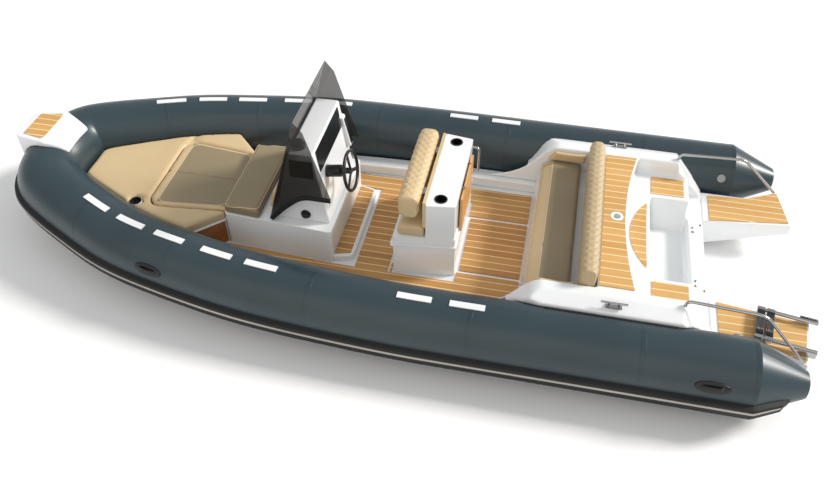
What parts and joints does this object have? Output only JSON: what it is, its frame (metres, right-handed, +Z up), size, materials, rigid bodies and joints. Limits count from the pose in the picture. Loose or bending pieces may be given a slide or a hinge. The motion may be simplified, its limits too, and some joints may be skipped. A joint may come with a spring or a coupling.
{
  "type": "rigid inflatable boat",
  "caption": "Open rigid inflatable boat with a deep V hull, inflatable collar, centre console, leaning post, aft bench, bow seats and a folding swim ladder.",
  "frame": {"origin": "on the centreline at the forward edge of the swim platforms, on the waterline", "axes": "+X to the bow, +Y to port, +Z up"},
  "size_m": [7.0271, 3.0616, 1.964],
  "materials": {
    "gelcoat": "glossy gelcoat",
    "collar_fabric": "coated fabric",
    "strake_rubber": "matt",
    "strake_strip": "matt",
    "white_rubber": "ribbed",
    "teak": "oiled planks with pale caulk",
    "cushion": "vinyl cover",
    "black_plastic": "matt",
    "smoked_glass": "smoked",
    "stainless": "polished",
    "grey_plastic": "satin",
    "hull_gelcoat": "glossy gelcoat"
  },
  "bodies": {
    "boat": {"hull": "hull_gelcoat", "deck_liner": "gelcoat", "side_walls": "gelcoat", "sole_teak": "teak", "inflatable_collar": "collar_fabric", "rub_strake": "strake_rubber", "strake_stripe": "strake_strip", "collar_treads": "white_rubber", "lifting_handles": "strake_rubber", "inflation_valves": "grey_plastic", "bow_locker": "gelcoat", "bow_cushions": "cushion", "infill_mattress": "cushion", "bow_step": "gelcoat", "bow_step_teak": "teak", "bow_eye": "stainless", "console_base": "gelcoat", "console_tower": "gelcoat", "console_seat_cushion": "cushion", "console_backrest": "cushion", "console_panels": "black_plastic", "compass": "black_plastic", "socket_plate": "gelcoat", "socket_knob": "black_plastic", "windscreen": "smoked_glass", "windscreen_trim": "strake_rubber", "helm_hub": "black_plastic", "helm_step": "gelcoat", "helm_step_teak": "teak", "leaning_post_base": "gelcoat", "leaning_post_cabinet": "gelcoat", "cup_holders": "black_plastic", "leaning_post_seat": "cushion", "bolster_backing": "cushion", "bolster_brackets": "stainless", "leaning_post_bolster": "cushion", "table_bracket": "stainless", "post_grab_rail": "stainless", "bench_base": "gelcoat", "bench_cushions": "cushion", "bench_backrest": "cushion", "backrest_brackets": "gelcoat", "arm_cushions": "cushion", "stern_moulding": "gelcoat", "transom_board": "gelcoat", "side_steps": "gelcoat", "coamings": "gelcoat", "sundeck_teak": "teak", "step_teak": "teak", "pedestal_ring": "gelcoat", "swim_platforms": "gelcoat", "platform_teak": "teak", "stern_rails": "stainless", "cleats": "stainless", "ladder_bracket": "stainless"},
    "wheel": {"steering_wheel": "black_plastic"},
    "table": {"folding_table": "teak"},
    "ladder": {"ladder_frame": "stainless"},
    "ladder_slider": {"ladder_extension": "stainless"}
  },
  "joints": [
    {"name": "steering", "type": "hinge", "parent": "boat", "child": "wheel", "pos_m": [3.29816, 0.19, 0.886], "axis": [-0.9848, 0, 0.1736], "range_deg": [-540, 540]},
    {"name": "table_fold", "type": "hinge", "parent": "boat", "child": "table", "pos_m": [2.133, 0, 0.876], "axis": [0, 1, 0], "range_deg": [0, 90]},
    {"name": "ladder_fold", "type": "hinge", "parent": "boat", "child": "ladder", "pos_m": [-0.708, 0.76, 0.372], "axis": [0.165, 0.9863, 0], "range_deg": [-258, 0]},
    {"name": "ladder_slide", "type": "slide", "parent": "ladder", "child": "ladder_slider", "axis": [0.9863, -0.165, 0], "range_m": [0, 0.2]}
  ]
}
